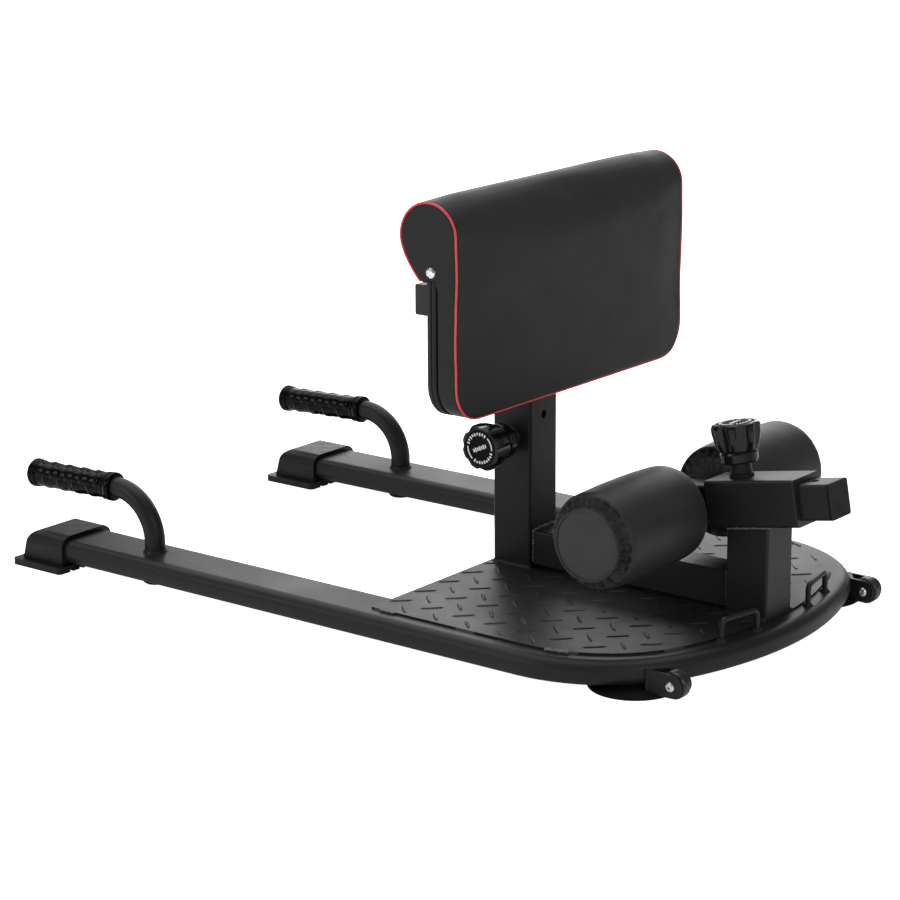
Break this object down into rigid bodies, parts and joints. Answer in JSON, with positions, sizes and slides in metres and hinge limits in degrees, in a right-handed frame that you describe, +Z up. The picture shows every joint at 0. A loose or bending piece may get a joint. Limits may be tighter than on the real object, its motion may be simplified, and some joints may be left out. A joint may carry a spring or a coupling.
{
  "type": "squat machine with calf pad and ankle rollers",
  "caption": "Low floor frame with a checker foot plate, height-adjustable calf pad, sliding foam ankle rollers, push-up handles and band hooks.",
  "frame": {"origin": "on the floor, in the middle between the two rails and 475 mm behind the front end of the sliding tube, close to the middle of the footprint", "axes": "+X from the rail ends towards the front bow, +Y to the left side, +Z up; right-handed"},
  "size_m": [0.9394, 0.539, 0.4718],
  "materials": {
    "frame_black": "satin black powder coat",
    "rubber_black": "matt moulded rubber",
    "grip_rubber": "semi-gloss soft grip",
    "plastic_black": "fine-textured moulded plastic",
    "knob_plastic": "semi-gloss moulded plastic",
    "pad_leatherette": "smooth black synthetic leather",
    "roller_cover": "pleated black synthetic leather",
    "pad_board_black": "black covered board",
    "back_cloth": "black woven backing cloth",
    "zinc_steel": "zinc plated",
    "chrome_screw": "polished",
    "pin_steel": "turned steel",
    "wheel_plastic": "moulded nylon"
  },
  "bodies": {
    "base": {"band_hook_left": "frame_black", "band_hook_right": "frame_black", "base_frame_tube": "frame_black", "foot_bolts": "zinc_steel", "foot_plate": "frame_black", "frame_welds": "frame_black", "front_foot_left": "rubber_black", "front_foot_right": "rubber_black", "front_post": "frame_black", "handle_bolts": "frame_black", "handle_grip_left": "grip_rubber", "handle_grip_right": "grip_rubber", "handle_plugs": "frame_black", "handle_tube_left": "frame_black", "handle_tube_right": "frame_black", "main_post": "frame_black", "plate_crossbar": "frame_black", "plate_welds": "frame_black", "post_bush": "plastic_black", "post_pin_housing": "frame_black", "rail_boot_left": "rubber_black", "rail_boot_right": "rubber_black", "roller_sleeve": "frame_black", "sleeve_bush_front": "plastic_black", "sleeve_bush_rear": "plastic_black", "sleeve_pin_housing": "frame_black", "spine_tube": "frame_black", "wheel_bolts": "zinc_steel", "wheel_bracket_left": "frame_black", "wheel_bracket_right": "frame_black"},
    "pad_carriage": {"inner_post": "frame_black", "inner_post_cap": "plastic_black", "pad_arm_left": "frame_black", "pad_arm_right": "frame_black", "pad_arm_caps": "plastic_black", "pad_board": "pad_board_black", "pad_back_cover": "back_cloth", "pad_cushion": "pad_leatherette", "pad_bolts": "zinc_steel", "pad_side_screws": "chrome_screw"},
    "post_plunger": {"post_pin_plunger": "pin_steel"},
    "post_knob": {"post_pin_knob": "knob_plastic"},
    "sleeve_plunger": {"sleeve_pin_plunger": "pin_steel"},
    "sleeve_knob": {"sleeve_pin_knob": "knob_plastic"},
    "roller_carriage": {"slide_tube": "frame_black", "slide_cap": "plastic_black", "roller_axle": "frame_black", "roller_spacers": "plastic_black"},
    "left_roller": {"roller_foam_left": "roller_cover", "roller_bush_left": "plastic_black", "roller_disc_left": "plastic_black"},
    "right_roller": {"roller_foam_right": "roller_cover", "roller_bush_right": "plastic_black", "roller_disc_right": "plastic_black"},
    "left_wheel": {"wheel_left": "wheel_plastic"},
    "right_wheel": {"wheel_right": "wheel_plastic"}
  },
  "joints": [
    {"name": "pad_height", "type": "slide", "parent": "base", "child": "pad_carriage", "axis": [0, 0, 1], "range_m": [0, 0.09]},
    {"name": "post_pin_pull", "type": "slide", "parent": "base", "child": "post_plunger", "axis": [0, -1, 0], "range_m": [0, 0.01], "stiffness_N_per_m": 1500, "springref_m": -0.004},
    {"name": "post_knob_turn", "type": "hinge", "parent": "post_plunger", "child": "post_knob", "pos_m": [0.0775, -0.06, 0.182], "axis": [0, -1, 0], "continuous": true},
    {"name": "sleeve_pin_pull", "type": "slide", "parent": "base", "child": "sleeve_plunger", "axis": [-0.1736, 0, 0.9848], "range_m": [0, 0.01], "stiffness_N_per_m": 1500, "springref_m": -0.004},
    {"name": "sleeve_knob_turn", "type": "hinge", "parent": "sleeve_plunger", "child": "sleeve_knob", "pos_m": [0.34967, 0, 0.21399], "axis": [-0.1736, 0, 0.9848], "continuous": true},
    {"name": "roller_reach", "type": "slide", "parent": "base", "child": "roller_carriage", "axis": [0.9848, 0, 0.1736], "range_m": [-0.087, 0]},
    {"name": "left_roller_spin", "type": "hinge", "parent": "roller_carriage", "child": "left_roller", "pos_m": [0.29561, 0.116, 0.14048], "axis": [0, 1, 0], "continuous": true},
    {"name": "right_roller_spin", "type": "hinge", "parent": "roller_carriage", "child": "right_roller", "pos_m": [0.29561, -0.116, 0.14048], "axis": [0, 1, 0], "continuous": true},
    {"name": "left_wheel_spin", "type": "hinge", "parent": "base", "child": "left_wheel", "pos_m": [0.4019, 0.1899, 0.0158], "axis": [0, 1, 0], "continuous": true},
    {"name": "right_wheel_spin", "type": "hinge", "parent": "base", "child": "right_wheel", "pos_m": [0.4019, -0.1899, 0.0158], "axis": [0, 1, 0], "continuous": true}
  ]
}
